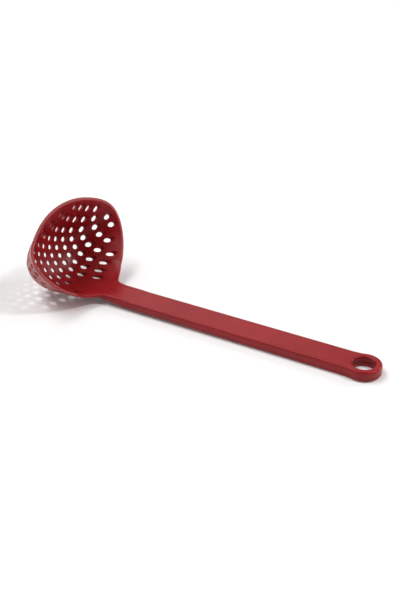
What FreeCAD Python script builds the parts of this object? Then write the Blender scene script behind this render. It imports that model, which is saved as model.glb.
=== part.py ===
# Perforated skimmer ladle in millimetres: a tilted bowl with drain holes and a flat hollow handle.
# +X runs along the handle towards its hanging eye, +Z is up, and the tool lies on z = 0 as on a worktop.
import FreeCAD, Part
import math
import os

os.makedirs("parts", exist_ok=True)
V = FreeCAD.Vector

# Bowl: the rim is an ellipse bent and drawn into an egg, and a section is a round floor with a straight wall
rim_half_width = 49.7
rim_half_length = 34.6
rim_bend = 14.0           # how far the rim's widest points lie towards its top
rim_taper = 0.053         # share by which the rim narrows towards the handle
rim_square = 0.0144       # share by which its four ends stand out
bowl_depth = 40.5
floor_radius = 25.95
bowl_wall = 2.2
bowl_tilt = 31.0          # the bowl's axis above the handle's direction, degrees

# Drain holes: staggered columns, bored along the bowl's axis, inside an egg-shaped field
hole_radius = 2.05
column_pitch = 6.76
row_pitch = 6.78
row_shift = 1.44          # a hole of the middle column lies this far above the bowl's axis
field_half_width = 48.4
field_half_length = 32.7
field_bend = 6.8
field_shift = 1.9
rim_land = 0.6            # left between a hole and the rim, in plan
bare_patch_radius = 11.0  # no holes where the handle runs into the bowl
bare_patch_middle = 30.5

# Handle, from the foot of the rim to the middle of the hanging eye
handle_length = 213.5
handle_width = 22.0
neck_thickness = 6.6
eye_thickness = 8.4
foot_drop = 1.76          # the foot of the rim lies this far below the handle's top
taper_length = 22.7       # the neck thins towards the rim over this length
root_length = 15.0        # the handle's root runs this far into the bowl's wall
eye_radius = 12.7
eye_blend_radius = 40.0
hang_hole_radius = 8.0
tip_rise = 0.2            # the underside lifts this much at the tip
underside_blend = 100.0
top_edge_radius = 1.5
bottom_edge_radius = 2.0
hang_top_round = 1.4
hang_bottom_round = 1.0

# Neck: a thin web that flares from the handle's sides to the rim
web_half_width = 30.0
web_corner = 4.8          # the web's edge would meet the handle's side this far beyond the foot
web_end = -4.05
web_start = 21.8          # the web begins here, inside the handle's rounded edges
flare_radius = 8.0
web_top_start = 11.2
web_top_slope = 0.28

# Hollow of the handle and the strip that closes it
handle_wall = 2.0
cover_thickness = 2.6
cover_start = 25.7
eye_wall = 3.0            # left round the hanging hole
pocket_count = 5
pocket_rib = 1.6
pocket_corner = 2.0
pad_clearance = 0.2
pad_height = 1.2

reach = 400.0             # longer than the tool, for cutting blocks
half_width = handle_width / 2

# Frame of the bowl: local x towards the handle, local z out of the bowl's mouth, origin at the floor's middle
tilt = math.radians(bowl_tilt)
mouth_way = V(math.cos(tilt), 0, math.sin(tilt))
foot_way = V(math.sin(tilt), 0, -math.cos(tilt))

# The wall leaves the round floor at the angle that takes it to the rim
to_rim = math.hypot(rim_half_length, bowl_depth - floor_radius)
wall_angle = math.atan2(bowl_depth - floor_radius, rim_half_length) + math.asin(floor_radius / to_rim)
floor_reach = floor_radius * math.sin(wall_angle)


def egg_radius(along, across, half_length, half_width_of_egg, bend):
    """Size of the egg through a point, measured along its length."""
    side = across / half_width_of_egg
    return math.hypot(side * half_length, along + bend * side ** 2)


def rim_size(along, across):
    """Size of the rim's shape through a point: the rim's half length where the point is on the rim."""
    side = across / rim_half_width
    ahead = -(along + rim_bend * side ** 2) / rim_half_length
    size = math.hypot(side, ahead)
    turn = math.atan2(side, ahead)
    grow = rim_taper * size * math.cos(3 * turn) + rim_square * size ** 2 * math.cos(4 * turn)
    return rim_half_length * size / (1 + grow)


# The foot of the rim fixes where the bowl is
rim_foot = rim_half_length
for turn in range(20):
    rim_foot = rim_foot * rim_half_length / rim_size(rim_foot, 0)
floor_point = V(0, 0, -foot_drop) - foot_way * rim_foot - mouth_way * bowl_depth
bowl_place = FreeCAD.Placement(floor_point, FreeCAD.Rotation(V(0, 1, 0), 90 - bowl_tilt))


def bowl_height(along, across):
    """Height of the bowl's inner face over the middle of its floor."""
    r = rim_size(along, across)
    if r < floor_reach:
        return floor_radius - math.sqrt(floor_radius ** 2 - r ** 2)
    return floor_radius * (1 - math.cos(wall_angle)) + (r - floor_reach) * math.tan(wall_angle)


def inner_normal(along, across):
    step = 0.05
    slope_along = (bowl_height(along + step, across) - bowl_height(along - step, across)) / (2 * step)
    slope_across = (bowl_height(along, across + step) - bowl_height(along, across - step)) / (2 * step)
    normal = V(-slope_along, -slope_across, 1)
    return normal.normalize()


def above_face(offset):
    """Everything above the bowl's inner face, lowered by an offset: the face runs on past the rim."""
    spare = 9.0
    step = 4.5
    long_half = rim_half_length + spare
    wide_half = rim_half_width + spare
    long_count = round(2 * long_half / step)
    wide_count = round(2 * wide_half / step)
    rows = []
    for i in range(long_count + 1):
        along = -long_half + 2 * long_half * i / long_count
        row = []
        for j in range(wide_count + 1):
            across = -wide_half + 2 * wide_half * j / wide_count
            point = V(along, across, bowl_height(along, across))
            row.append(point - inner_normal(along, across) * offset)
        rows.append(row)
    surface = Part.BSplineSurface()
    surface.interpolate(rows)
    solid = surface.toShape().extrude(V(0, 0, reach / 2))
    solid.Placement = bowl_place
    return solid


def block(low, high):
    return Part.makeBox(high.x - low.x, high.y - low.y, high.z - low.z, low)


def rounded_face(points, radii):
    """Flat face through corner points, each corner rounded by its radius."""
    edges = []
    ends = []
    count = len(points)
    for i, corner in enumerate(points):
        back = (points[i - 1] - corner).normalize()
        ahead = (points[(i + 1) % count] - corner).normalize()
        half_turn = (math.pi - back.getAngle(ahead)) / 2
        if radii[i] == 0 or half_turn < 1e-4:
            ends.append((corner, corner))
            continue
        cut = radii[i] * math.tan(half_turn)
        inward = (back + ahead).normalize()
        middle = corner + inward * (radii[i] / math.cos(half_turn) - radii[i])
        start = corner + back * cut
        finish = corner + ahead * cut
        ends.append((start, finish))
        edges.append(Part.Arc(start, middle, finish).toShape())
    for i in range(count):
        start = ends[i][1]
        finish = ends[(i + 1) % count][0]
        edges.append(Part.LineSegment(start, finish).toShape())
    return Part.Face(Part.Wire(Part.__sortEdges__(edges)))


def below_handle(lift):
    """Everything below the handle's underside, lifted by a distance."""
    slope = (eye_thickness - neck_thickness) / (handle_length - taper_length)
    turn_x = handle_length - eye_radius
    turn_z = -eye_thickness + slope * eye_radius
    tip_x = handle_length + 2 * eye_radius
    tip_z = turn_z + tip_rise * (tip_x - turn_x) / (2 * eye_radius)
    thin = -foot_drop - bowl_wall
    line = [V(-root_length, 0, thin), V(0, 0, thin), V(taper_length, 0, -neck_thickness),
            V(turn_x, 0, turn_z), V(tip_x, 0, tip_z), V(tip_x, 0, -reach), V(-root_length, 0, -reach)]
    face = rounded_face(line, [0, 0, underside_blend, underside_blend, 0, 0, 0])
    face.translate(V(0, -reach / 2, lift))
    return face.extrude(V(0, reach, 0))


def handle_outline():
    """Plan of the handle: a strip with a round eye, blended where they meet."""
    blend_y = half_width + eye_blend_radius
    blend_reach = eye_radius + eye_blend_radius
    blend_x = handle_length - math.sqrt(blend_reach ** 2 - blend_y ** 2)
    eye = V(handle_length, 0, 0)
    edges = [Part.LineSegment(V(-root_length, -half_width, 0), V(-root_length, half_width, 0)).toShape()]
    joins = []
    for side in (1, -1):
        centre = V(blend_x, side * blend_y, 0)
        on_strip = V(blend_x, side * half_width, 0)
        on_eye = centre + (eye - centre).normalize() * eye_blend_radius
        way = ((on_strip - centre) + (on_eye - centre)).normalize()
        edges.append(Part.LineSegment(V(-root_length, side * half_width, 0), on_strip).toShape())
        edges.append(Part.Arc(on_strip, centre + way * eye_blend_radius, on_eye).toShape())
        joins.append(on_eye)
    edges.append(Part.Arc(joins[0], eye + V(eye_radius, 0, 0), joins[1]).toShape())
    return Part.Wire(Part.__sortEdges__(edges))


def mid_point(edge):
    return edge.valueAt((edge.FirstParameter + edge.LastParameter) / 2)


def make_bar():
    """The handle as one solid bar with rounded edges and its hanging hole."""
    outline = handle_outline()
    plan = Part.Face(outline)
    plan.translate(V(0, 0, -reach / 4))
    bar = plan.extrude(V(0, 0, reach / 4)).cut(below_handle(0))
    bar = bar.cut(Part.makeCylinder(hang_hole_radius, reach, V(handle_length, 0, -reach / 2)))
    groups = {"top": [], "low": [], "hole_top": [], "hole_low": []}
    for edge in bar.Edges:
        spot = mid_point(edge)
        first = edge.valueAt(edge.FirstParameter)
        upright = edge.BoundBox.XLength + edge.BoundBox.YLength < 1e-4
        level = "top" if spot.z > -1e-4 else "low"
        flat_spot = V(spot.x, spot.y, 0)
        if upright or spot.x < -root_length + 1e-4:
            continue
        off_hole = abs(math.hypot(first.x - handle_length, first.y) - hang_hole_radius)
        if off_hole < 1e-4:
            groups["hole_" + level].append(edge)
        elif outline.distToShape(Part.Vertex(flat_spot))[0] < 1e-4:
            groups[level].append(edge)
    sizes = {"top": top_edge_radius, "low": bottom_edge_radius,
             "hole_top": hang_top_round, "hole_low": hang_bottom_round}
    for name, radius in sizes.items():
        edges = []
        for old in groups[name]:
            spot = Part.Vertex(mid_point(old))
            edges += [e for e in bar.Edges if e.distToShape(spot)[0] < 1e-4]
        bar = bar.makeFillet(radius, edges)
    return bar


def rim_and_web():
    """The space that holds the bowl's wall: up to the rim, and past it in the web that joins the handle."""
    half_space = Part.makeBox(reach, reach, reach, V(-reach / 2, -reach / 2, bowl_depth - reach))
    half_space.Placement = bowl_place
    corners = []
    for side in (1, -1):
        row = [V(web_start, side * (half_width - top_edge_radius), 0), V(web_corner, side * half_width, 0),
               V(web_end, side * web_half_width, 0), V(-root_length, side * web_half_width, 0)]
        corners += row if side == 1 else row[::-1]
    plan = rounded_face(corners, [0, flare_radius, 0, 0, 0, 0, flare_radius, 0])
    plan.translate(V(0, 0, -reach / 4))
    web = plan.extrude(V(0, 0, reach / 2))
    high = reach / 4
    cap = [V(web_top_start, 0, 0), V(web_top_start - high, 0, web_top_slope * high),
           V(web_top_start - high, 0, reach), V(reach, 0, reach), V(reach, 0, 0)]
    lid = Part.Face(Part.makePolygon(cap + cap[:1]))
    lid.translate(V(0, -reach / 2, 0))
    return half_space.fuse(web.cut(lid.extrude(V(0, reach, 0))))


def hole_spots():
    """Middles of the drain holes in the bowl's frame, as (along, across)."""
    spots = []
    columns = int(rim_half_width / column_pitch)
    rows = int(2 * rim_half_length / row_pitch)
    for k in range(-columns, columns + 1):
        for n in range(-rows, rows + 1):
            along = -row_shift - row_pitch * (n + (k % 2) / 2)
            across = k * column_pitch
            size = egg_radius(along + field_shift, across, field_half_length, field_half_width, field_bend)
            to_patch = math.hypot(along - bare_patch_middle, across)
            if size < field_half_length and to_patch > bare_patch_radius:
                room = rim_half_length - hole_radius - rim_land
                over = rim_size(along, across) - room
                spots.append((along + max(over, 0) if along < 0 else along - max(over, 0), across))
    return spots


def drain_bores():
    bores = []
    for along, across in hole_spots():
        rise = (hole_radius + bowl_wall) * math.tan(wall_angle)
        low = bowl_height(along, across) - rise
        bores.append(Part.makeCylinder(hole_radius, 2 * rise, V(along, across, low)))
    bores = Part.makeCompound(bores)
    bores.Placement = bowl_place
    return bores


def pockets(inset):
    """Plans of the handle's hollow, in equal lengths, made smaller by an inset."""
    start = cover_start + handle_wall
    finish = handle_length - hang_hole_radius - eye_wall
    length = (finish - start - (pocket_count - 1) * pocket_rib) / pocket_count
    side = half_width - handle_wall - inset
    solids = []
    for i in range(pocket_count):
        low = start + i * (length + pocket_rib) + inset
        high = low + length - 2 * inset
        corners = [V(low, -side, 0), V(high, -side, 0), V(high, side, 0), V(low, side, 0)]
        plan = rounded_face(corners, [pocket_corner - inset] * 4)
        plan.translate(V(0, 0, -handle_wall - reach / 4))
        solids.append(plan.extrude(V(0, 0, reach / 4)))
    return Part.makeCompound(solids)


def one_solid(shape):
    print("solids", len(shape.Solids), "valid", shape.isValid(), "volume", round(shape.Volume, 1))
    return shape.Solids[0]


bar = make_bar()
cover_zone = below_handle(cover_thickness).common(block(V(cover_start, -reach, -reach), V(reach, reach, reach)))
pad_zone = below_handle(cover_thickness + pad_height).cut(below_handle(cover_thickness / 2))
cover = bar.common(cover_zone).fuse(pockets(pad_clearance).common(pad_zone))
cover = one_solid(cover.removeSplitter())

handle_top = bar.cut(cover_zone).cut(pockets(0))
body = above_face(bowl_wall).common(rim_and_web()).fuse(handle_top).cut(above_face(0))
body = one_solid(body.cut(drain_bores()))

box = Part.makeCompound([body, cover]).optimalBoundingBox(True, False)
shift = V(-(box.XMin + box.XMax) / 2, -(box.YMin + box.YMax) / 2, -box.ZMin)
for name, shape in (("skimmer_body", body), ("handle_cover", cover)):
    shape.translate(shift)
    shape.exportStep("parts/" + name + ".step")

print("holes", len(hole_spots()))
print("size", round(box.XLength, 2), round(box.YLength, 2), round(box.ZLength, 2))
print("shift", [round(v, 3) for v in shift])
eye = V(handle_length, 0, 0) + shift
print("hanging hole axis", [round(v, 3) for v in eye])
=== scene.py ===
import math
import bmesh
import bpy
import numpy as np
from mathutils import Matrix, Vector
from mathutils.geometry import delaunay_2d_cdt


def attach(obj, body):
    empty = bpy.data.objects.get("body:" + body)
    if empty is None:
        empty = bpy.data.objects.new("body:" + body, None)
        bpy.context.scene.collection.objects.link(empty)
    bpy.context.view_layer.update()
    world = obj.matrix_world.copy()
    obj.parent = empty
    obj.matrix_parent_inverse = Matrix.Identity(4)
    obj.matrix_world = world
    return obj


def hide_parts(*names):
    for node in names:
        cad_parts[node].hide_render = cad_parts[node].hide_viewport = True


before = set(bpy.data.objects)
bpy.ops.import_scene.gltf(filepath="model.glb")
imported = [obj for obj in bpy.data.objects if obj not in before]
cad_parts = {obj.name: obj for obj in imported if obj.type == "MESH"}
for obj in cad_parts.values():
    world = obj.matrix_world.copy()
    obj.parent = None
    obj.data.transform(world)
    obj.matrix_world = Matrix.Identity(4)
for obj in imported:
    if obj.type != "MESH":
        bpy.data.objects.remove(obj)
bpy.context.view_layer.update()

# the shapes are in millimetres until a mesh is made;
# x runs along the handle from the foot of the rim, z = 0 is the handle's top face
place = {"shift": (-84.151, 0.0, 8.314), "toMetres": 0.001}

# how often each search repeats
rounds = {"rim": 30, "outer": 14, "overBase": 40, "face": 44, "lip": 40}

bowl = {
    "halfWidth": 49.7, "halfLength": 34.6, "bend": 14.0, "taper": 0.053, "square": 0.0144,
    "depth": 40.5, "floorRadius": 25.95, "wall": 2.2, "tiltDeg": 31.0, "footDrop": 1.76,
    "lipRound": 0.6, "lipLeast": 0.2, "lipMost": 5.0, "rimSteps": 110,
}
tilt = math.radians(bowl["tiltDeg"])
mouthWay = np.array([math.cos(tilt), 0.0, math.sin(tilt)])
footWay = np.array([math.sin(tilt), 0.0, -math.cos(tilt)])
rise = bowl["depth"] - bowl["floorRadius"]
wallAngle = math.atan2(rise, bowl["halfLength"])
wallAngle += math.asin(bowl["floorRadius"] / math.hypot(bowl["halfLength"], rise))
floorReach = bowl["floorRadius"] * math.sin(wallAngle)


# the rim's two waves: one narrows the egg, the other squares its shoulders
def eggWaves(size, turn):
    narrow = bowl["taper"] * size * np.cos(3 * turn)
    square = bowl["square"] * size ** 2 * np.cos(4 * turn)
    return narrow, square


# size of the rim's egg shape through a point
def eggSize(x, y):
    side = y / bowl["halfWidth"]
    ahead = -(x + bowl["bend"] * side ** 2) / bowl["halfLength"]
    size = np.hypot(side, ahead)
    narrow, square = eggWaves(size, np.arctan2(side, ahead))
    return bowl["halfLength"] * size / (1 + (narrow + square))


def rimAt(turn):
    size = np.ones_like(turn)
    for i in range(rounds["rim"]):
        narrow, square = eggWaves(size, turn)
        size = 1 + narrow + square
    side = size * np.sin(turn)
    x = -bowl["halfLength"] * size * np.cos(turn) - bowl["bend"] * side ** 2
    return x, bowl["halfWidth"] * side


rimFoot = float(rimAt(np.array([math.pi]))[0][0])
floorPoint = np.array([0, 0, -bowl["footDrop"]]) - footWay * rimFoot - mouthWay * bowl["depth"]


# the bowl's inner face over its own tilted base
def innerHeight(x, y):
    r = eggSize(x, y)
    big = bowl["floorRadius"]
    roundPart = big - np.sqrt(np.maximum(big ** 2 - np.minimum(r, floorReach) ** 2, 0))
    return roundPart + np.maximum(r - floorReach, 0) * math.tan(wallAngle)


def slopes(height, x, y, step=0.02):
    alongX = (height(x + step, y) - height(x - step, y)) / (2 * step)
    alongY = (height(x, y + step) - height(x, y - step)) / (2 * step)
    return alongX, alongY


# the outer face lies one wall below, measured square to the inner face
def outerHeight(x, y):
    px, py = x, y
    for i in range(rounds["outer"]):
        sx, sy = slopes(innerHeight, px, py)
        length = np.sqrt(1 + sx ** 2 + sy ** 2)
        px = x - bowl["wall"] * sx / length
        py = y - bowl["wall"] * sy / length
    sx, sy = slopes(innerHeight, px, py)
    return innerHeight(px, py) - bowl["wall"] / np.sqrt(1 + sx ** 2 + sy ** 2)


# from the bowl's own base to the handle's axes, and back
def toWorld(x, y, z):
    x, y, z = np.broadcast_arrays(np.asarray(x, float), np.asarray(y, float), np.asarray(z, float))
    point = floorPoint + x[..., None] * footWay + z[..., None] * mouthWay
    point[..., 1] += y
    return point


def toBowl(point):
    rel = np.asarray(point, float) - floorPoint
    return rel @ footWay, rel[..., 1], rel @ mouthWay


def overFloor(points):
    return np.stack(toBowl(points)[:2], -1)


def alongHandle(x, z):
    return floorPoint[0] + x * footWay[0] + z * mouthWay[0]


def softMin(a, b, reach):
    return np.minimum(a, b) - np.maximum(reach - np.abs(a - b), 0) ** 2 / (4 * reach)


def smooth(value, low, high):
    t = np.clip((value - low) / (high - low), 0, 1)
    return t * t * (3 - 2 * t)


def distances(a, b):
    return np.hypot(a[:, None, 0] - b[None, :, 0], a[:, None, 1] - b[None, :, 1])


def unitCircle(count):
    angles = np.arange(count) * 2 * math.pi / count
    return np.stack([np.cos(angles), np.sin(angles)], -1)


# halves the span from low to high until it closes on the place where the test turns true
def closeIn(low, high, test, turns):
    for i in range(turns):
        middle = (low + high) / 2
        over = test(middle)
        high = np.where(over, middle, high)
        low = np.where(over, low, middle)
    return (low + high) / 2


# a face known by its height along the handle, as a height over the bowl's base;
# each round goes half of the way
def overBase(x, heightAlong):
    z = np.full_like(x, bowl["depth"])
    for i in range(rounds["overBase"]):
        level = heightAlong(alongHandle(x, z))
        z = 0.5 * z + 0.5 * (level - floorPoint[2] - x * footWay[2]) / mouthWay[2]
    return z


handle = {
    "length": 213.5, "halfWidth": 11.0, "neckThick": 6.6, "eyeThick": 8.4, "taper": 22.7,
    "eyeRadius": 12.7, "eyeBlend": 40.0, "hangRadius": 8.0, "hangRound": 1.4, "tipRise": 0.2,
    "topRound": 1.5, "lowRound": 2.0, "coverThick": 2.6, "coverStart": 25.7,
    "seamStep": 0.15, "seamFade": 2, "tipBlend": 0.25, "taperBlend": 0.3, "thinBlend": 0.2,
    "sideSteps": 24, "blendSteps": 12, "eyeSteps": 32, "hangAround": 72, "hangArc": 5,
    "netFromCover": 6, "netFromEye": 16, "netHalf": 7, "netColumns": 26, "netRows": 5,
}


def underside(x):
    slope = (handle["eyeThick"] - handle["neckThick"]) / (handle["length"] - handle["taper"])
    thin = -bowl["footDrop"] - bowl["wall"]
    low = -handle["neckThick"] - slope * (x - handle["taper"])
    tipStart = handle["length"] - handle["eyeRadius"]
    tipZ = -handle["eyeThick"] + slope * handle["eyeRadius"]
    tip = tipZ + handle["tipRise"] * (x - tipStart) / (2 * handle["eyeRadius"])
    taper = thin + (-handle["neckThick"] - thin) * x / handle["taper"]
    low = -softMin(-low, -tip, handle["tipBlend"])
    low = -softMin(-low, -taper, handle["taperBlend"])
    return softMin(low, np.full_like(low, thin), handle["thinBlend"])


neck = {
    "corner": 4.8, "webHalf": 30.0, "flare": 8.0, "webRound": 0.9,
    "topBlend": 2.0, "lowBlend": 2.5, "roundFrom": 2.0, "roundTo": 12.0,
    "rimShareFrom": 15, "rimShareMargin": 1, "legShare": 0.47,
    "searchLow": -14.0, "searchHigh": 16.0,
    "sideSteps": 12, "flareSteps": 10, "webSteps": 15, "endSteps": 10, "webTries": 4000,
}
# the web's straight edge meets the rim here
tries = np.linspace(math.pi, math.pi / 2, neck["webTries"])
webTurn = tries[np.argmax(rimAt(tries)[1] > neck["webHalf"])]
webEnd = np.array([footWay[0] * (float(rimAt(webTurn)[0]) - rimFoot), neck["webHalf"]])


# the neck's edge in plan: the handle's side, the flare and the web's straight edge
def neckPlan():
    web = webEnd - np.array([neck["corner"], handle["halfWidth"]])
    webWay = web / np.linalg.norm(web)
    halfTurn = math.acos(webWay[0]) / 2
    cut = neck["flare"] / math.tan(halfTurn)
    arcStart = neck["corner"] + cut
    centre = np.array([arcStart, handle["halfWidth"] + neck["flare"]])
    sideX = np.linspace(handle["coverStart"], arcStart, neck["sideSteps"])
    plan = [[x, handle["halfWidth"]] for x in sideX]
    normals = [[0.0, 1.0]] * neck["sideSteps"]
    sweep = math.pi - 2 * halfTurn
    for i in range(1, neck["flareSteps"] + 1):
        angle = -math.pi / 2 - sweep * i / neck["flareSteps"]
        way = np.array([math.cos(angle), math.sin(angle)])
        plan.append(list(centre + neck["flare"] * way))
        normals.append(list(-way))
    begin = np.array(plan[-1])
    for i in range(1, neck["webSteps"]):
        plan.append(list(begin + (webEnd - begin) * i / neck["webSteps"]))
        normals.append([webWay[1], -webWay[0]])
    return np.array(plan), np.array(normals)


neckTop = {
    "start": 11.2, "slope": 0.28, "sharpness": 1.2, "flatAfter": 6,
    "wingFrom": 22, "wingRise": 0.03, "bowlFrom": 22, "bowlRise": 3,
}


# the handle's top plane, lifted towards the rim; far out and over the bowl it rises out of the way
def capHeight(x, y):
    wing = neckTop["wingRise"] * np.maximum(np.abs(y) - neckTop["wingFrom"], 0) ** 2
    overBowl = neckTop["bowlRise"] * np.maximum(neckTop["bowlFrom"] - x, 0) ** 2
    sharp = neckTop["sharpness"]

    def topAlong(along):
        ramp = neckTop["slope"] * np.logaddexp(0, sharp * (neckTop["start"] - along)) / sharp
        ramp = np.where(along > neckTop["start"] + neckTop["flatAfter"], 0, ramp)
        return ramp + wing + overBowl

    return overBase(x, topAlong)


keel = {
    "slope": 3.2, "arcShare": 0.95, "fadeFrom": 3, "fadeTo": 11, "bowlEnd": 20, "clearance": 50,
}


# the handle's underside, with the keel's sides rising into the web
def keelHeight(x, y):
    out = np.maximum(np.abs(y) - (handle["halfWidth"] - handle["lowRound"]), 0)
    curve = np.minimum(out, keel["arcShare"] * handle["lowRound"])
    side = handle["lowRound"] - np.sqrt(handle["lowRound"] ** 2 - curve ** 2)
    side = side + (out - curve) * keel["slope"]

    def lowAlong(along):
        return underside(along) + side * (1 - smooth(along, keel["fadeFrom"], keel["fadeTo"]))

    return overBase(x, lowAlong)


bead = {
    "height": 0.95, "at": 14.5, "span": 3.2, "width": 2.6,
    "bowlEnd": 20, "reach": 28, "lineParts": 4,
}
neckEdge = neckPlan()[0]
neckLine = np.concatenate([
    np.linspace(p, q, bead["lineParts"] + 1)[:-1] for p, q in zip(neckEdge[:-1], neckEdge[1:])
])


# the web's edge stands up as a soft bead on both sides of the neck
def beadLift(x, y, z):
    lift = np.zeros_like(z)
    near = (x > bead["bowlEnd"]) & (np.abs(y) < bead["reach"])
    spot = np.stack([alongHandle(x, z), np.abs(y)], -1)[near]
    away = distances(spot, neckLine)
    closest = away.argmin(1)
    crest = np.exp(-((neckLine[closest, 1] - bead["at"]) / bead["span"]) ** 2)
    lift[near] = crest * np.exp(-(away.min(1) / bead["width"]) ** 2)
    return lift * bead["height"] / math.cos(wallAngle)


def topHeight(x, y):
    base = softMin(innerHeight(x, y), capHeight(x, y), neck["topBlend"])
    return base + beadLift(x, y, base)


# the keel stays clear of the bowl's own underside
def lowHeight(x, y):
    outer = outerHeight(x, y)
    keelZ = np.where(x > keel["bowlEnd"], keelHeight(x, y), outer + keel["clearance"])
    return softMin(outer, keelZ, neck["lowBlend"])


# the points of a face straight above or below places in plan
def faceAt(height, plan):
    planX, planY = plan[:, 0], plan[:, 1]

    def above(tryZ):
        x, y, z = toBowl(np.stack([planX, planY, tryZ], -1))
        return z > height(x, y)

    low = np.full_like(planX, neck["searchLow"])
    high = np.full_like(planX, neck["searchHigh"])
    return np.stack([planX, planY, closeIn(low, high, above, rounds["face"])], -1)


# a rounded corner from start, round corner, to end: a circle's arc when the two legs are equal
def cornerArc(start, corner, end, steps, leastLegs=1e-9):
    a = start - corner
    b = end - corner
    legs = np.linalg.norm(a, axis=-1) * np.linalg.norm(b, axis=-1)
    cosAngle = np.sum(a * b, -1) / np.maximum(legs, leastLegs)
    weight = np.sqrt(np.clip((1 - cosAngle) / 2, 0, 1))[..., None]
    rows = []
    for i in range(steps + 1):
        t = i / steps
        over = (1 - t) ** 2 * start + 2 * t * (1 - t) * weight * corner + t ** 2 * end
        rows.append(over / ((1 - t) ** 2 + 2 * t * (1 - t) * weight + t ** 2))
    return rows


# the edge's columns: an arc, two points at the cover's seam, an arc
arcSteps = 5
seamColumn = arcSteps + 2
seamZ = float(underside(np.array([handle["coverStart"]]))[0]) + handle["coverThick"]
sideTop = -handle["topRound"]
sideLow = seamZ - handle["coverThick"] + handle["lowRound"]
seamParts = [
    (sideTop - seamZ - handle["seamStep"]) / (sideTop - sideLow),
    (sideTop - seamZ) / (sideTop - sideLow),
]


def edgeProfile(topIn, topCorner, lowCorner, lowIn):
    span = lowCorner - topCorner
    height = np.linalg.norm(span, axis=-1, keepdims=True)
    topLeg = np.linalg.norm(topIn - topCorner, axis=-1, keepdims=True)
    lowLeg = np.linalg.norm(lowIn - lowCorner, axis=-1, keepdims=True)
    first = topCorner + span * np.minimum(topLeg, neck["legShare"] * height) / height
    last = lowCorner - span * np.minimum(lowLeg, neck["legShare"] * height) / height
    rows = cornerArc(topIn, topCorner, first, arcSteps)
    rows += [first + (last - first) * part for part in seamParts]
    rows += cornerArc(last, lowCorner, lowIn, arcSteps)
    return np.stack(rows, 1)


# one side's edge, from the handle's cover past the web and along the rim to its top
def edgeHalf():
    plan, normals = neckPlan()
    grow = smooth(plan[:, 0], neck["roundFrom"], neck["roundTo"])[:, None]
    topRound = neck["webRound"] + (handle["topRound"] - neck["webRound"]) * grow
    lowRound = neck["webRound"] + (handle["lowRound"] - neck["webRound"]) * grow
    topCorner = faceAt(topHeight, plan)
    webPoints = [
        faceAt(topHeight, plan - normals * topRound), topCorner,
        faceAt(lowHeight, plan), faceAt(lowHeight, plan - normals * lowRound),
    ]
    webX, webY, webZ = toBowl(topCorner)
    rimX, rimY = rimAt(np.linspace(webTurn, 0, bowl["rimSteps"]))
    x = np.concatenate([webX, rimX])
    y = np.concatenate([webY, rimY])
    z = np.concatenate([webZ, np.full_like(rimX, bowl["depth"])])
    sx, sy = slopes(innerHeight, x, y)
    size = np.hypot(sx, sy)
    nx, ny = sx / size, sy / size
    inset = bowl["lipRound"] * math.cos(wallAngle)

    def pastWall(out):
        return outerHeight(x + out * nx, y + out * ny) > z

    least, most = np.full_like(x, bowl["lipLeast"]), np.full_like(x, bowl["lipMost"])
    lip = closeIn(least, most, pastWall, rounds["lip"])
    inX, inY = x - inset * nx, y - inset * ny
    outX, outY = x + lip * nx, y + lip * ny
    backX, backY = outX - inset * nx, outY - inset * ny
    rimPoints = [
        toWorld(inX, inY, innerHeight(inX, inY)), toWorld(x, y, z), toWorld(outX, outY, z),
        toWorld(backX, backY, outerHeight(backX, backY)),
    ]
    count = len(plan)
    shareEnd = neck["webHalf"] - neck["rimShareMargin"]
    share = smooth(plan[:, 1], neck["rimShareFrom"], shareEnd)[:, None]
    mixed = []
    for web, rim in zip(webPoints, rimPoints):
        row = np.concatenate([web * (1 - share) + rim[:count] * share, rim[count:]])
        row[-1, 1] = 0  # the last point lies on the middle plane
        mixed.append(row)
    return edgeProfile(*mixed)


fill = {"mergeWithin": 1e-7, "nearGap": 1.3, "leastArea": 1e-9}


def inPolygon(points, loop):
    inside = np.zeros(len(points), bool)
    ax, ay = loop[:, 0], loop[:, 1]
    bx, by = np.roll(ax, -1), np.roll(ay, -1)
    for i in range(len(loop)):
        crosses = (ay[i] > points[:, 1]) != (by[i] > points[:, 1])
        with np.errstate(divide="ignore", invalid="ignore"):
            at = (bx[i] - ax[i]) * (points[:, 1] - ay[i]) / (by[i] - ay[i]) + ax[i]
        inside ^= crosses & (points[:, 0] < at)
    return inside


# triangles of a flat region with round gaps; the points keep their order
def fillRegion(points, loop, gaps):
    edges = []
    for line in [loop] + gaps:
        edges += [(line[i], line[(i + 1) % len(line)]) for i in range(len(line))]
    result = delaunay_2d_cdt([Vector(p) for p in points], edges, [], 0, fill["mergeWithin"])
    if len(result[0]) != len(points):
        print("region fill changed the points:", len(points), "to", len(result[0]))
    origin = [ids[0] for ids in result[3]]
    tris = np.array([[origin[v] for v in face] for face in result[2]])
    middle = points[tris].mean(1)
    keep = inPolygon(middle, points[loop])
    for gap in gaps:
        centre = points[gap].mean(0)
        gapReach = np.hypot(*(points[gap] - centre).T).max()
        close = np.hypot(*(middle - centre).T) < fill["nearGap"] * gapReach
        where = np.where(close)[0]
        keep[where] &= ~inPolygon(middle[where], points[gap])
    tris = tris[keep]
    a, b, c = points[tris[:, 0]], points[tris[:, 1]], points[tris[:, 2]]
    ab, ac = b - a, c - a
    area = ab[:, 0] * ac[:, 1] - ab[:, 1] * ac[:, 0]
    tris[area < 0] = tris[area < 0][:, ::-1]
    return tris[np.abs(area) > fill["leastArea"]]


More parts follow.
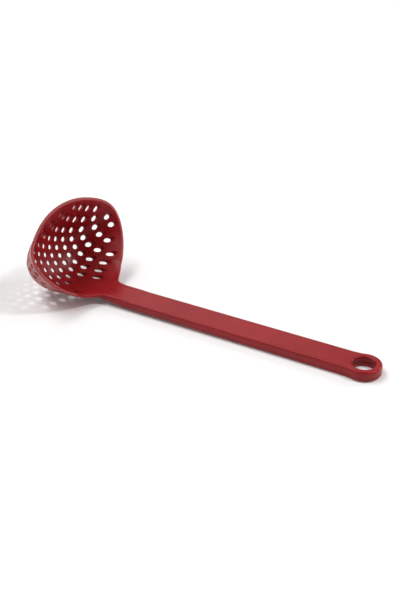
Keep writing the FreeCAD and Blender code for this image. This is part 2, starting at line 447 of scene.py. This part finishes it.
class MeshMaker:
    def __init__(self):
        self.points = []
        self.normals = []
        self.faces = []
        self.count = 0

    def add(self, points):
        first = self.count
        self.points.append(np.asarray(points, float))
        self.normals.append(np.zeros_like(self.points[-1]))
        self.count += len(points)
        return np.arange(first, self.count)

    def setNormals(self, ids, normals):
        flat = np.concatenate(self.normals)
        flat[ids] = normals
        self.normals = [flat]
        self.points = [np.concatenate(self.points)]

    # a face's triangles, turned over where the face looks down
    def addFace(self, tris, side):
        self.faces += [tuple(t) for t in (tris if side > 0 else tris[:, ::-1])]

    def strip(self, grid, closed):
        rows = len(grid) if closed else len(grid) - 1
        for i in range(rows):
            here, after = grid[i], grid[(i + 1) % len(grid)]
            for j in range(len(here) - 1):
                self.faces.append((here[j], here[j + 1], after[j + 1], after[j]))

    def build(self, name):
        points = (np.concatenate(self.points) + np.array(place["shift"])) * place["toMetres"]
        faces = [tuple(int(v) for v in f) for f in self.faces]
        mesh = bpy.data.meshes.new(name)
        mesh.from_pydata([tuple(p) for p in points], [], faces)
        mesh.update()
        obj = bpy.data.objects.new(name, mesh)
        bpy.context.scene.collection.objects.link(obj)
        return obj, np.concatenate(self.normals)


def faceNormals(height, x, y, sign):
    sx, sy = slopes(height, x, y)
    normal = -sx[:, None] * footWay + mouthWay
    normal[:, 1] = -sy
    return sign * normal / np.linalg.norm(normal, axis=1, keepdims=True)


drain = {
    "radius": 2.05, "columnPitch": 6.76, "rowPitch": 6.78, "rowShift": 1.44,
    "columnsEachWay": 7, "rowsEachWay": 11, "fieldWidth": 48.4, "fieldLength": 32.7,
    "bend": 6.8, "shift": 1.9, "rimLand": 0.6, "rimRoom": 0.2,
    "patchRadius": 11.0, "patchMiddle": 30.5, "edgeRound": 0.2, "around": 24, "arc": 4,
}


# staggered columns inside an egg-shaped field, clear of the rim and of the bare patch by the neck
def drainSpots():
    halfLength = drain["fieldLength"]
    rimLimit = bowl["halfLength"] - drain["radius"] - drain["rimLand"]
    spots = []
    for column in range(-drain["columnsEachWay"], drain["columnsEachWay"] + 1):
        for row in range(-drain["rowsEachWay"], drain["rowsEachWay"] + 1):
            x = -drain["rowShift"] - drain["rowPitch"] * (row + (column % 2) / 2)
            y = column * drain["columnPitch"]
            side = y / drain["fieldWidth"]
            ahead = x + drain["shift"] + drain["bend"] * side ** 2
            size = math.hypot(side * halfLength, ahead)
            toPatch = math.hypot(x - drain["patchMiddle"], y)
            if size < halfLength and toPatch > drain["patchRadius"]:
                over = float(eggSize(x, y)) - rimLimit
                spots.append((x - math.copysign(max(over, 0), x), y))
    return np.array(spots)


# one hole's wall, from its rounded lip inside the bowl to the one outside
def drainWall(spot, rimLine):
    circle = unitCircle(drain["around"])
    room = np.hypot(*(rimLine - spot).T).min() - drain["radius"] - drain["rimRoom"]
    edgeRound = min(drain["edgeRound"], room)
    levels = []
    for height, sign in ((topHeight, -1), (lowHeight, 1)):
        part = []
        for j in range(drain["arc"] + 1):
            bend = j / drain["arc"] * math.pi / 2
            reach = drain["radius"] + edgeRound * (1 - math.sin(bend))
            x, y = (spot + circle * reach).T
            z = height(x, y) + sign * drain["edgeRound"] * (1 - math.cos(bend))
            part.append(toWorld(x, y, z))
        levels += part if sign < 0 else part[::-1]
    return np.stack(levels, 1)


faceNet = {
    "openStep": 2.1, "fineStep": 1.05, "rowShare": 0.866, "fineFrom": 27.5, "fineHalf": 33,
    "edgeRoom": 0.55, "holeRoom": 0.3, "batch": 400,
}


# loose points for a face: a fine net by the neck, an open one elsewhere
def netPoints(loop, rings, spots):
    low, high = loop.min(0), loop.max(0)
    found = []
    for step, fineZone in ((faceNet["openStep"], False), (faceNet["fineStep"], True)):
        rows = np.arange(low[1], high[1], step * faceNet["rowShare"])
        for i, y in enumerate(rows):
            xs = np.arange(low[0] + (i % 2) * step / 2, high[0], step)
            part = np.stack([xs, np.full_like(xs, y)], -1)
            fine = (part[:, 0] > faceNet["fineFrom"]) & (np.abs(part[:, 1]) < faceNet["fineHalf"])
            found.append(part[fine == fineZone])
    found = np.concatenate(found)
    found = found[inPolygon(found, loop)]
    ends = np.concatenate([loop] + rings)
    holeReach = drain["radius"] + drain["edgeRound"] + faceNet["holeRoom"]
    keep = np.ones(len(found), bool)
    for i in range(0, len(found), faceNet["batch"]):
        part = found[i:i + faceNet["batch"]]
        gap = distances(part, ends).min(1)
        hole = distances(part, spots).min(1)
        keep[i:i + faceNet["batch"]] = (gap > faceNet["edgeRoom"]) & (hole > holeReach)
    return found[keep]


def makeShell():
    maker = MeshMaker()
    half = edgeHalf()
    mirror = half[:-1][::-1] * np.array([1, -1, 1])
    edge = np.concatenate([half, mirror])
    grid = maker.add(edge.reshape(-1, 3)).reshape(edge.shape[:2])
    maker.strip(grid, False)
    spots = drainSpots()
    rimLine = np.concatenate([overFloor(edge[:, column]) for column in (0, -1)])
    holeGrids = []
    for spot in spots:
        wall = drainWall(spot, rimLine)
        ids = maker.add(wall.reshape(-1, 3)).reshape(wall.shape[:2])
        maker.strip(ids[::-1], True)
        holeGrids.append(ids)
    print("shell edges and", len(spots), "drain holes placed")
    every = np.concatenate(maker.points)
    ends = []
    for height, column, side in ((topHeight, 0, 1), (lowHeight, -1, -1)):
        start, stop = edge[0, column], edge[-1, column]
        endY = np.linspace(stop[1], start[1], neck["endSteps"] + 1)[1:-1]
        endPoints = np.stack([np.full_like(endY, start[0]), endY, np.full_like(endY, start[2])], -1)
        endIds = maker.add(endPoints)
        ends.append(endIds)
        flatLoop = overFloor(np.concatenate([every[grid[:, column]], endPoints]))
        ringIds = [ids[:, column] for ids in holeGrids]
        rings = [overFloor(every[ids]) for ids in ringIds]
        net = netPoints(flatLoop, rings, spots)
        netIds = maker.add(toWorld(net[:, 0], net[:, 1], height(net[:, 0], net[:, 1])))
        points = np.concatenate([flatLoop] + rings + [net])
        ids = np.concatenate([grid[:, column], endIds] + ringIds + [netIds])
        gaps = []
        first = len(flatLoop)
        for ring in rings:
            gaps.append(np.arange(first, first + len(ring)))
            first += len(ring)
        tris = ids[fillRegion(points, np.arange(len(flatLoop)), gaps)]
        maker.addFace(tris, side)
        maker.setNormals(ids, faceNormals(height, points[:, 0], points[:, 1], side))
        print("shell face", "inside" if side > 0 else "outside", len(tris), "triangles")
    topEnd, lowEnd = ends
    endFace = list(grid[-1, seamColumn:]) + list(lowEnd) + list(grid[0, seamColumn:][::-1])
    maker.faces.append(tuple(endFace))
    return maker, grid, topEnd


# the handle's outline in plan, from the cover's start along one side to the tip
def outlineHalf():
    blendY = handle["halfWidth"] + handle["eyeBlend"]
    span = handle["eyeRadius"] + handle["eyeBlend"]
    blendX = handle["length"] - math.sqrt(span ** 2 - blendY ** 2)
    points, normals = [], []
    for x in np.linspace(handle["coverStart"], blendX, handle["sideSteps"]):
        points.append([x, handle["halfWidth"]])
        normals.append([0, 1])
    centre = np.array([blendX, blendY])
    eye = np.array([handle["length"], 0])
    startAngle = -math.pi / 2
    toEye = eye - centre
    endAngle = math.atan2(toEye[1], toEye[0])
    for i in range(1, handle["blendSteps"] + 1):
        angle = startAngle + (endAngle - startAngle) * i / handle["blendSteps"]
        way = np.array([math.cos(angle), math.sin(angle)])
        points.append(list(centre + way * handle["eyeBlend"]))
        normals.append(list(-way))
    startAngle = endAngle + math.pi
    for i in range(1, handle["eyeSteps"] + 1):
        angle = startAngle * (1 - i / handle["eyeSteps"])
        way = np.array([math.cos(angle), math.sin(angle)])
        points.append(list(eye + way * handle["eyeRadius"]))
        normals.append(list(way))
    return np.array(points), np.array(normals)


def lifted(plan, z):
    return np.c_[plan, np.broadcast_to(z, len(plan))]


# the hanging hole's wall, from its rounded lip on top to the cover's seam
def hangWall():
    eye = np.array([handle["length"], 0])
    circle = unitCircle(handle["hangAround"])
    rows = []
    for j in range(handle["hangArc"] + 1):
        bend = j / handle["hangArc"] * math.pi / 2
        reach = handle["hangRadius"] + handle["hangRound"] * (1 - math.sin(bend))
        rows.append(lifted(eye + circle * reach, -handle["hangRound"] * (1 - math.cos(bend))))
    plan = eye + circle * handle["hangRadius"]
    rows.append(lifted(plan, underside(plan[:, 0]) + handle["coverThick"]))
    return np.stack(rows, 1)


def makeHandle(maker, grid, topEnd):
    points, normals = outlineHalf()
    flip = np.array([1, -1])
    points = np.concatenate([points, points[:-1][::-1] * flip])
    normals = np.concatenate([normals, normals[:-1][::-1] * flip])
    seam = underside(points[:, 0]) + handle["coverThick"]
    topIn = lifted(points - normals * handle["topRound"], 0)
    rows = cornerArc(topIn, lifted(points, 0), lifted(points, -handle["topRound"]), arcSteps)
    stepEnd = handle["coverStart"] + handle["seamFade"]
    step = handle["seamStep"] * smooth(points[:, 0], handle["coverStart"], stepEnd)[:, None]
    rows.append(lifted(points, seam + handle["seamStep"]))
    rows.append(lifted(points - normals * step, seam))
    wall = np.stack(rows, 1)
    ids = np.zeros(wall.shape[:2], int)
    ids[0] = grid[0, :seamColumn + 1]
    ids[-1] = grid[-1, :seamColumn + 1]
    ids[1:-1] = maker.add(wall[1:-1].reshape(-1, 3)).reshape(ids[1:-1].shape)
    maker.strip(ids[::-1], False)
    hang = hangWall()
    hangIds = maker.add(hang.reshape(-1, 3)).reshape(hang.shape[:2])
    maker.strip(hangIds[::-1], True)
    every = np.concatenate(maker.points)
    netStart = handle["coverStart"] + handle["netFromCover"]
    netX = np.linspace(netStart, handle["length"] - handle["netFromEye"], handle["netColumns"])
    netY = np.linspace(-handle["netHalf"], handle["netHalf"], handle["netRows"])
    net = np.stack([g.ravel() for g in np.meshgrid(netX, netY)], -1)
    for column, side in ((0, 1), (-1, -1)):
        loopIds = list(ids[:, column])
        if side > 0:
            loopIds += list(topEnd)
        flatLoop = every[loopIds][:, :2]
        ring = every[hangIds[:, column]][:, :2]
        z = 0 if side > 0 else underside(net[:, 0]) + handle["coverThick"]
        netIds = maker.add(lifted(net, z))
        flatPoints = np.concatenate([flatLoop, ring, net])
        allIds = np.concatenate([loopIds, hangIds[:, column], netIds])
        gap = np.arange(len(flatLoop), len(flatLoop) + len(ring))
        tris = allIds[fillRegion(flatPoints, np.arange(len(flatLoop)), [gap])]
        maker.addFace(tris, side)
        maker.setNormals(allIds, np.array([0, 0, side], float))
    print("handle closed round its eye")


def finishMesh(maker, name):
    obj, normals = maker.build(name)
    mesh = obj.data
    bm = bmesh.new()
    bm.from_mesh(mesh)
    openCount = sum(len(e.link_faces) != 2 for e in bm.edges)
    bm.free()
    print(name, len(mesh.vertices), "points,", len(mesh.polygons), "faces")
    print(name, "has", openCount, "open edges")
    for poly in mesh.polygons:
        poly.use_smooth = True
    mesh.normals_split_custom_set_from_vertices([tuple(n) for n in normals])
    return obj


shellMaker, shellGrid, shellTopEnd = makeShell()
makeHandle(shellMaker, shellGrid, shellTopEnd)
shell = finishMesh(shellMaker, "skimmerShell")
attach(shell, "root")
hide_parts("skimmer_body")

# scales are per metre, the grain's depth is in metres
redNylon = {
    "deep": (0.28, 0.008, 0.011, 1), "pale": (0.34, 0.012, 0.016, 1), "deepAt": 0.3, "paleAt": 0.7,
    "cloudScale": 60.0, "cloudDetail": 4, "roughLow": 0.30, "roughHigh": 0.40, "specular": 0.26,
    "grainScale": 1500.0, "grainDetail": 2, "grainDepth": 0.00004, "grainStrength": 0.5,
}


def makeNylon(name):
    material = bpy.data.materials.new(name)
    material.use_nodes = True
    nodes, links = material.node_tree.nodes, material.node_tree.links
    shader = nodes["Principled BSDF"]
    shader.inputs["Specular IOR Level"].default_value = redNylon["specular"]
    coords = nodes.new("ShaderNodeTexCoord")

    def addNoise(scale, detail):
        noise = nodes.new("ShaderNodeTexNoise")
        noise.inputs["Scale"].default_value = scale
        noise.inputs["Detail"].default_value = detail
        links.new(coords.outputs["Object"], noise.inputs["Vector"])
        return noise.outputs["Fac"]

    cloud = addNoise(redNylon["cloudScale"], redNylon["cloudDetail"])
    ramp = nodes.new("ShaderNodeValToRGB")
    for element, shade in zip(ramp.color_ramp.elements, ("deep", "pale")):
        element.position = redNylon[shade + "At"]
        element.color = redNylon[shade]
    links.new(cloud, ramp.inputs["Fac"])
    links.new(ramp.outputs["Color"], shader.inputs["Base Color"])
    grain = addNoise(redNylon["grainScale"], redNylon["grainDetail"])
    rough = nodes.new("ShaderNodeMapRange")
    rough.inputs["To Min"].default_value = redNylon["roughLow"]
    rough.inputs["To Max"].default_value = redNylon["roughHigh"]
    links.new(grain, rough.inputs["Value"])
    links.new(rough.outputs["Result"], shader.inputs["Roughness"])
    bump = nodes.new("ShaderNodeBump")
    bump.inputs["Strength"].default_value = redNylon["grainStrength"]
    bump.inputs["Distance"].default_value = redNylon["grainDepth"]
    links.new(grain, bump.inputs["Height"])
    links.new(bump.outputs["Normal"], shader.inputs["Normal"])
    return material


nylon = makeNylon("redNylon")
shell.data.materials.append(nylon)
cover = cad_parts["handle_cover"]
cover.data.materials.clear()
cover.data.materials.append(nylon)
print("red nylon on the shell and the cover")

# metres from here on; the floor glows fully white from fadeTo outwards
studio = {
    "floorSize": 40.0, "floorColour": (0.92, 0.92, 0.92, 1), "floorGlow": 0.065,
    "fadeFrom": 0.8, "fadeTo": 2.4, "worldColour": (1, 1, 1, 1), "worldLevel": 0.02,
    "lampDistance": 2.8, "aim": (-0.05, 0.0, 0.02),
}
# round softboxes: where each stands round the part, how high, its power in watts and its width
lamps = {
    "rightKey": {"azimuthDeg": 12, "elevationDeg": 54, "energy": 23.0, "size": 0.45},
    "rightFill": {"azimuthDeg": 8, "elevationDeg": 34, "energy": 10.0, "size": 1.8},
    "leftTop": {"azimuthDeg": 180, "elevationDeg": 60, "energy": 26.0, "size": 1.6},
    "frontLeftTop": {"azimuthDeg": 232, "elevationDeg": 65, "energy": 25.0, "size": 1.6},
    "leftLow": {"azimuthDeg": 200, "elevationDeg": 14, "energy": 19.0, "size": 1.6},
    "backLeft": {"azimuthDeg": 124, "elevationDeg": 32, "energy": 10.0, "size": 2.0},
    "backRight": {"azimuthDeg": 55, "elevationDeg": 34, "energy": 11.0, "size": 0.9},
    "backRightLow": {"azimuthDeg": 50, "elevationDeg": 13, "energy": 14.0, "size": 1.0},
}


# diffuse white that keeps the shadow, with a glow that only the camera, gloss and glass see
def makeFloorWhite():
    material = bpy.data.materials.new("whiteFloor")
    material.use_nodes = True
    nodes, links = material.node_tree.nodes, material.node_tree.links
    nodes.clear()
    diffuse = nodes.new("ShaderNodeBsdfDiffuse")
    diffuse.inputs["Color"].default_value = studio["floorColour"]
    glow = nodes.new("ShaderNodeEmission")
    rays = nodes.new("ShaderNodeLightPath")

    def addMath(operation, first, second):
        node = nodes.new("ShaderNodeMath")
        node.operation = operation
        links.new(first, node.inputs[0])
        links.new(second, node.inputs[1])
        return node.outputs[0]

    seen = addMath("MAXIMUM", rays.outputs["Is Camera Ray"], rays.outputs["Is Glossy Ray"])
    seen = addMath("MAXIMUM", seen, rays.outputs["Is Transmission Ray"])
    spot = nodes.new("ShaderNodeNewGeometry")
    away = nodes.new("ShaderNodeVectorMath")
    away.operation = "LENGTH"
    links.new(spot.outputs["Position"], away.inputs[0])
    fade = nodes.new("ShaderNodeMapRange")
    fade.inputs["From Min"].default_value = studio["fadeFrom"]
    fade.inputs["From Max"].default_value = studio["fadeTo"]
    fade.inputs["To Min"].default_value = studio["floorGlow"]
    links.new(away.outputs["Value"], fade.inputs["Value"])
    links.new(addMath("MULTIPLY", seen, fade.outputs[0]), glow.inputs["Strength"])
    both = nodes.new("ShaderNodeAddShader")
    links.new(diffuse.outputs[0], both.inputs[0])
    links.new(glow.outputs[0], both.inputs[1])
    out = nodes.new("ShaderNodeOutputMaterial")
    links.new(both.outputs[0], out.inputs["Surface"])
    return material


def makeStudio():
    floorMesh = bpy.data.meshes.new("floor")
    reach = studio["floorSize"] / 2
    corners = [(-reach, -reach, 0), (reach, -reach, 0), (reach, reach, 0), (-reach, reach, 0)]
    floorMesh.from_pydata(corners, [], [(0, 1, 2, 3)])
    floor = bpy.data.objects.new("floor", floorMesh)
    bpy.context.scene.collection.objects.link(floor)
    floorMesh.materials.append(makeFloorWhite())
    world = bpy.data.worlds.new("studioWorld")
    bpy.context.scene.world = world
    world.use_nodes = True
    sky = world.node_tree.nodes["Background"]
    sky.inputs["Color"].default_value = studio["worldColour"]
    sky.inputs["Strength"].default_value = studio["worldLevel"]
    aim = Vector(studio["aim"])
    for name, lamp in lamps.items():
        azimuth, elevation = math.radians(lamp["azimuthDeg"]), math.radians(lamp["elevationDeg"])
        level = math.cos(elevation)
        way = Vector((math.cos(azimuth) * level, math.sin(azimuth) * level, math.sin(elevation)))
        light = bpy.data.lights.new(name, "AREA")
        light.shape = "DISK"
        light.size = lamp["size"]
        light.energy = lamp["energy"]
        lightObj = bpy.data.objects.new(name, light)
        lightObj.location = aim + way * studio["lampDistance"]
        lightObj.rotation_euler = way.to_track_quat("Z", "Y").to_euler()
        bpy.context.scene.collection.objects.link(lightObj)


makeStudio()
print("studio set")

# the photo's camera: angles, then millimetres, with focal and imageHeight in pixels
view = {
    "azimuthDeg": 30.03, "elevationDeg": 29.62, "focal": 1097.9, "distance": 842.92,
    "across": -75.93, "up": 10.94, "toFoot": (-3.41, 0.0, 0.0),
    "imageHeight": 600, "sensor": 36.0,
}


def makeCamera():
    azimuth, elevation = math.radians(view["azimuthDeg"]), math.radians(view["elevationDeg"])
    right = Vector((math.cos(azimuth), math.sin(azimuth), 0))
    level = Vector((-math.sin(azimuth), math.cos(azimuth), 0))
    ahead = level * math.cos(elevation) - Vector((0, 0, math.sin(elevation)))
    up = level * math.sin(elevation) + Vector((0, 0, math.cos(elevation)))
    spot = right * -view["across"] - up * view["up"] - ahead * view["distance"]
    spot = (spot + Vector(view["toFoot"]) + Vector(place["shift"])) * place["toMetres"]
    data = bpy.data.cameras.new("photoView")
    data.sensor_width = view["sensor"]
    data.lens = view["focal"] * view["sensor"] / view["imageHeight"]
    camera = bpy.data.objects.new("photoView", data)
    turn = Matrix((right, up, -ahead)).transposed()
    camera.matrix_world = Matrix.Translation(spot) @ turn.to_4x4()
    bpy.context.scene.collection.objects.link(camera)
    bpy.context.scene.camera = camera


makeCamera()
bpy.context.scene.view_settings.view_transform = "Standard"
print("camera placed")

bpy.context.view_layer.update()
